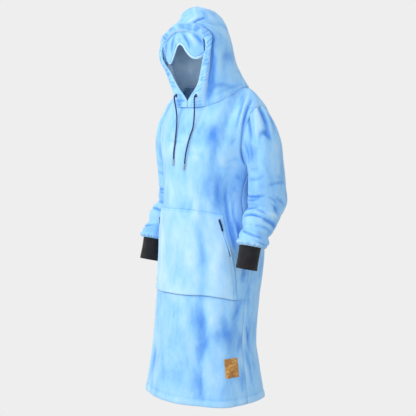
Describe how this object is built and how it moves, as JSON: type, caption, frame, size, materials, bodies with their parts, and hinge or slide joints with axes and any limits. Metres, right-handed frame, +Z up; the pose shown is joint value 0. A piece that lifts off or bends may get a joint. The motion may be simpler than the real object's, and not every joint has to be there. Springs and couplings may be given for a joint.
{
  "type": "hoodie",
  "caption": "Long hooded fleece pullover in worn shape, with a lined hood, a padded eye mask under its rim, a front pocket with slanted zips, rib cuffs and a drawcord.",
  "frame": {"origin": "the middle of the shoulder line at the neck, where the wearer's shoulders carry the garment", "axes": "+Z up along the body, -Y the front, +X the wearer's left"},
  "size_m": [0.5612, 0.3575, 1.3006],
  "materials": {
    "fleece": "soft plush fleece with a short nap and a light sheen",
    "lining": "matt light grey-white woolly lining",
    "mask_plush": "smooth plush with a soft sheen, padded",
    "rib_knit": "matt rib knit",
    "cord": "braided cord",
    "cord_tip": "metal ferrule",
    "eyelet": "dark painted ring",
    "zip": "woven tape with coil teeth",
    "zip_metal": "dark painted metal",
    "patch": "smooth leather-look with a stitched edge"
  },
  "bodies": {
    "garment": {"back": "fleece", "cuff_left": "rib_knit", "cuff_right": "rib_knit", "drawstring_left": "cord", "drawstring_right": "cord", "eye_mask": "mask_plush", "eyelet_left": "eyelet", "eyelet_right": "eyelet", "front_lower": "fleece", "front_upper": "fleece", "hood_casing": "fleece", "hood_left": "fleece", "hood_right": "fleece", "lining_left": "lining", "lining_right": "lining", "patch": "patch", "pocket": "fleece", "sleeve_left": "fleece", "sleeve_right": "fleece", "slider_left": "zip_metal", "slider_right": "zip_metal", "tip_left": "cord_tip", "tip_right": "cord_tip", "zip_left": "zip", "zip_right": "zip"},
    "pull_left": {"pull_left": "zip_metal"},
    "pull_right": {"pull_right": "zip_metal"}
  },
  "joints": [
    {"name": "pull_left_hinge", "type": "hinge", "parent": "garment", "child": "pull_left", "pos_m": [0.14546, -0.12906, -0.44459], "axis": [-0.5535, -0.7982, -0.2378], "range_deg": [0, 150]},
    {"name": "pull_right_hinge", "type": "hinge", "parent": "garment", "child": "pull_right", "pos_m": [-0.14597, -0.12896, -0.44455], "axis": [-0.5214, 0.8214, 0.2311], "range_deg": [0, 150]}
  ]
}
